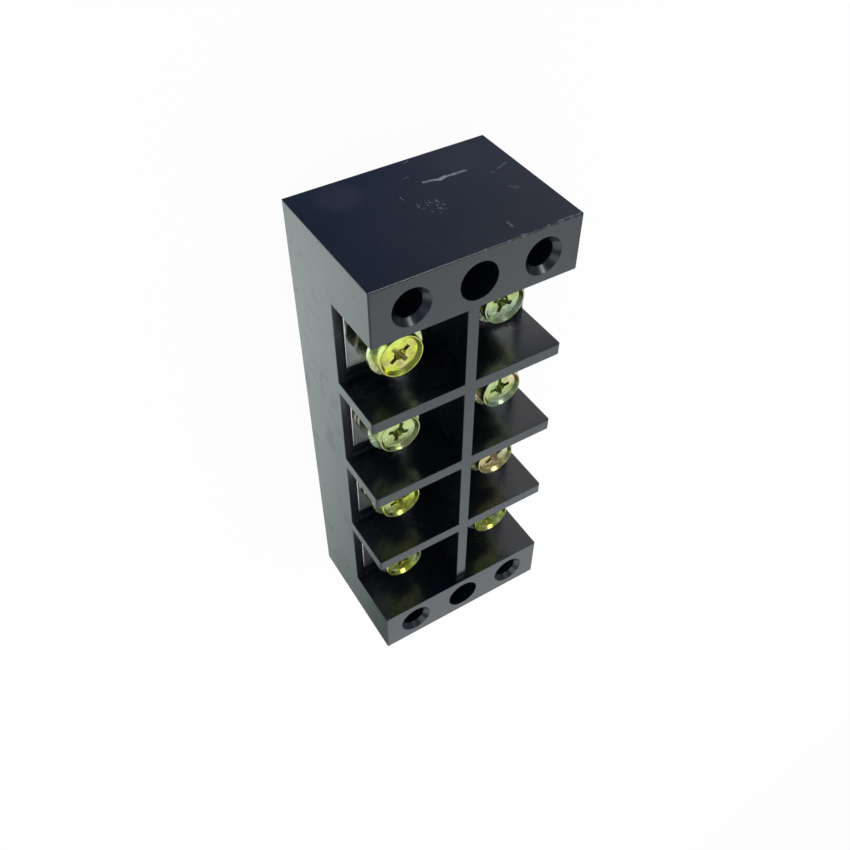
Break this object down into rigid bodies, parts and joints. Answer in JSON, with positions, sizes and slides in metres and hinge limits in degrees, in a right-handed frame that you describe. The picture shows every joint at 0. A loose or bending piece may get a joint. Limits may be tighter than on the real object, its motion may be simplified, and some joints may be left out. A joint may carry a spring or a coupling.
{
  "type": "barrier terminal strip",
  "caption": "Black moulded barrier terminal strip: open wire ways on both sides of a centre ridge, screws with loose washers over flat plates, and end blocks with countersunk mounting holes.",
  "frame": {"origin": "middle of the flat underside", "axes": "+X along the strip, +Y across it towards the left row, +Z out through the screw heads"},
  "size_m": [0.067, 0.0264, 0.0194],
  "materials": {
    "black_moulding": "satin black injection moulding",
    "plated_plate": "bright tin plate",
    "zinc_screw": "yellow passivated zinc plate",
    "zinc_washer": "yellow passivated zinc plate"
  },
  "bodies": {
    "base": {"moulding": "black_moulding", "terminal_plate_1": "plated_plate", "terminal_plate_2": "plated_plate", "terminal_plate_3": "plated_plate", "terminal_plate_4": "plated_plate"},
    "head_washer_1_left": {"head_washer_1_left": "zinc_washer"},
    "screw_1_left": {"screw_1_left": "zinc_screw"},
    "loose_washer_1_left": {"loose_washer_1_left": "zinc_washer"},
    "head_washer_2_left": {"head_washer_2_left": "zinc_washer"},
    "screw_2_left": {"screw_2_left": "zinc_screw"},
    "loose_washer_2_left": {"loose_washer_2_left": "zinc_washer"},
    "head_washer_3_left": {"head_washer_3_left": "zinc_washer"},
    "screw_3_left": {"screw_3_left": "zinc_screw"},
    "loose_washer_3_left": {"loose_washer_3_left": "zinc_washer"},
    "head_washer_4_left": {"head_washer_4_left": "zinc_washer"},
    "screw_4_left": {"screw_4_left": "zinc_screw"},
    "loose_washer_4_left": {"loose_washer_4_left": "zinc_washer"},
    "head_washer_1_right": {"head_washer_1_right": "zinc_washer"},
    "screw_1_right": {"screw_1_right": "zinc_screw"},
    "loose_washer_1_right": {"loose_washer_1_right": "zinc_washer"},
    "head_washer_2_right": {"head_washer_2_right": "zinc_washer"},
    "screw_2_right": {"screw_2_right": "zinc_screw"},
    "loose_washer_2_right": {"loose_washer_2_right": "zinc_washer"},
    "head_washer_3_right": {"head_washer_3_right": "zinc_washer"},
    "screw_3_right": {"screw_3_right": "zinc_screw"},
    "loose_washer_3_right": {"loose_washer_3_right": "zinc_washer"},
    "head_washer_4_right": {"head_washer_4_right": "zinc_washer"},
    "screw_4_right": {"screw_4_right": "zinc_screw"},
    "loose_washer_4_right": {"loose_washer_4_right": "zinc_washer"}
  },
  "joints": [
    {"name": "screw_travel_1_left", "type": "slide", "parent": "base", "child": "head_washer_1_left", "axis": [0, 0, 1], "range_m": [-0.0032, 0.0026]},
    {"name": "screw_turn_1_left", "type": "hinge", "parent": "head_washer_1_left", "child": "screw_1_left", "pos_m": [0.02025, 0.0078, 0.0148], "axis": [0, 0, 1], "range_deg": [-2307, 1875]},
    {"name": "loose_washer_travel_1_left", "type": "slide", "parent": "base", "child": "loose_washer_1_left", "axis": [0, 0, 1], "range_m": [-0.0011, 0.0009]},
    {"name": "screw_travel_2_left", "type": "slide", "parent": "base", "child": "head_washer_2_left", "axis": [0, 0, 1], "range_m": [-0.00235, 0.00345]},
    {"name": "screw_turn_2_left", "type": "hinge", "parent": "head_washer_2_left", "child": "screw_2_left", "pos_m": [0.00675, 0.0078, 0.01395], "axis": [0, 0, 1], "range_deg": [-1695, 2487]},
    {"name": "loose_washer_travel_2_left", "type": "slide", "parent": "base", "child": "loose_washer_2_left", "axis": [0, 0, 1], "range_m": [-0.000152, 0.0002222]},
    {"name": "screw_travel_3_left", "type": "slide", "parent": "base", "child": "head_washer_3_left", "axis": [0, 0, 1], "range_m": [-0.0021, 0.0037]},
    {"name": "screw_turn_3_left", "type": "hinge", "parent": "head_washer_3_left", "child": "screw_3_left", "pos_m": [-0.00675, 0.0078, 0.0137], "axis": [0, 0, 1], "range_deg": [-1515, 2667]},
    {"name": "loose_washer_travel_3_left", "type": "slide", "parent": "base", "child": "loose_washer_3_left", "axis": [0, 0, 1], "range_m": [-0.0004, 0.00071]},
    {"name": "screw_travel_4_left", "type": "slide", "parent": "base", "child": "head_washer_4_left", "axis": [0, 0, 1], "range_m": [-0.0024, 0.0034]},
    {"name": "screw_turn_4_left", "type": "hinge", "parent": "head_washer_4_left", "child": "screw_4_left", "pos_m": [-0.02025, 0.0078, 0.014], "axis": [0, 0, 1], "range_deg": [-1731, 2451]},
    {"name": "loose_washer_travel_4_left", "type": "slide", "parent": "base", "child": "loose_washer_4_left", "axis": [0, 0, 1], "range_m": [-0.0006, 0.00085]},
    {"name": "screw_travel_1_right", "type": "slide", "parent": "base", "child": "head_washer_1_right", "axis": [0, 0, 1], "range_m": [-0.0016, 0.0042]},
    {"name": "screw_turn_1_right", "type": "hinge", "parent": "head_washer_1_right", "child": "screw_1_right", "pos_m": [0.02025, -0.0073, 0.0132], "axis": [0, 0, 1], "range_deg": [-1155, 3027]},
    {"name": "loose_washer_travel_1_right", "type": "slide", "parent": "base", "child": "loose_washer_1_right", "axis": [0, 0, 1], "range_m": [-0.0003, 0.00079]},
    {"name": "screw_travel_2_right", "type": "slide", "parent": "base", "child": "head_washer_2_right", "axis": [0, 0, 1], "range_m": [-0.0024, 0.0034]},
    {"name": "screw_turn_2_right", "type": "hinge", "parent": "head_washer_2_right", "child": "screw_2_right", "pos_m": [0.00675, -0.0073, 0.014], "axis": [0, 0, 1], "range_deg": [-1731, 2451]},
    {"name": "loose_washer_travel_2_right", "type": "slide", "parent": "base", "child": "loose_washer_2_right", "axis": [0, 0, 1], "range_m": [-0.0005, 0.00071]},
    {"name": "screw_travel_3_right", "type": "slide", "parent": "base", "child": "head_washer_3_right", "axis": [0, 0, 1], "range_m": [-0.0023, 0.0035]},
    {"name": "screw_turn_3_right", "type": "hinge", "parent": "head_washer_3_right", "child": "screw_3_right", "pos_m": [-0.00675, -0.0073, 0.0139], "axis": [0, 0, 1], "range_deg": [-1659, 2523]},
    {"name": "loose_washer_travel_3_right", "type": "slide", "parent": "base", "child": "loose_washer_3_right", "axis": [0, 0, 1], "range_m": [-0.000202, 0.0003063]},
    {"name": "screw_travel_4_right", "type": "slide", "parent": "base", "child": "head_washer_4_right", "axis": [0, 0, 1], "range_m": [-0.0024, 0.0034]},
    {"name": "screw_turn_4_right", "type": "hinge", "parent": "head_washer_4_right", "child": "screw_4_right", "pos_m": [-0.02025, -0.0073, 0.014], "axis": [0, 0, 1], "range_deg": [-1731, 2451]},
    {"name": "loose_washer_travel_4_right", "type": "slide", "parent": "base", "child": "loose_washer_4_right", "axis": [0, 0, 1], "range_m": [-0.0007, 0.00099]}
  ],
  "couplings": [
    {"joint": "screw_turn_1_left", "follows": "screw_travel_1_left", "rad_per_m": 12566},
    {"joint": "loose_washer_travel_1_left", "follows": "screw_travel_1_left", "ratio": 0.34375},
    {"joint": "screw_turn_2_left", "follows": "screw_travel_2_left", "rad_per_m": 12566},
    {"joint": "loose_washer_travel_2_left", "follows": "screw_travel_2_left", "ratio": 0.06383},
    {"joint": "screw_turn_3_left", "follows": "screw_travel_3_left", "rad_per_m": 12566},
    {"joint": "loose_washer_travel_3_left", "follows": "screw_travel_3_left", "ratio": 0.19048},
    {"joint": "screw_turn_4_left", "follows": "screw_travel_4_left", "rad_per_m": 12566},
    {"joint": "loose_washer_travel_4_left", "follows": "screw_travel_4_left", "ratio": 0.25},
    {"joint": "screw_turn_1_right", "follows": "screw_travel_1_right", "rad_per_m": 12566},
    {"joint": "loose_washer_travel_1_right", "follows": "screw_travel_1_right", "ratio": 0.1875},
    {"joint": "screw_turn_2_right", "follows": "screw_travel_2_right", "rad_per_m": 12566},
    {"joint": "loose_washer_travel_2_right", "follows": "screw_travel_2_right", "ratio": 0.20833},
    {"joint": "screw_turn_3_right", "follows": "screw_travel_3_right", "rad_per_m": 12566},
    {"joint": "loose_washer_travel_3_right", "follows": "screw_travel_3_right", "ratio": 0.086957},
    {"joint": "screw_turn_4_right", "follows": "screw_travel_4_right", "rad_per_m": 12566},
    {"joint": "loose_washer_travel_4_right", "follows": "screw_travel_4_right", "ratio": 0.29167}
  ]
}
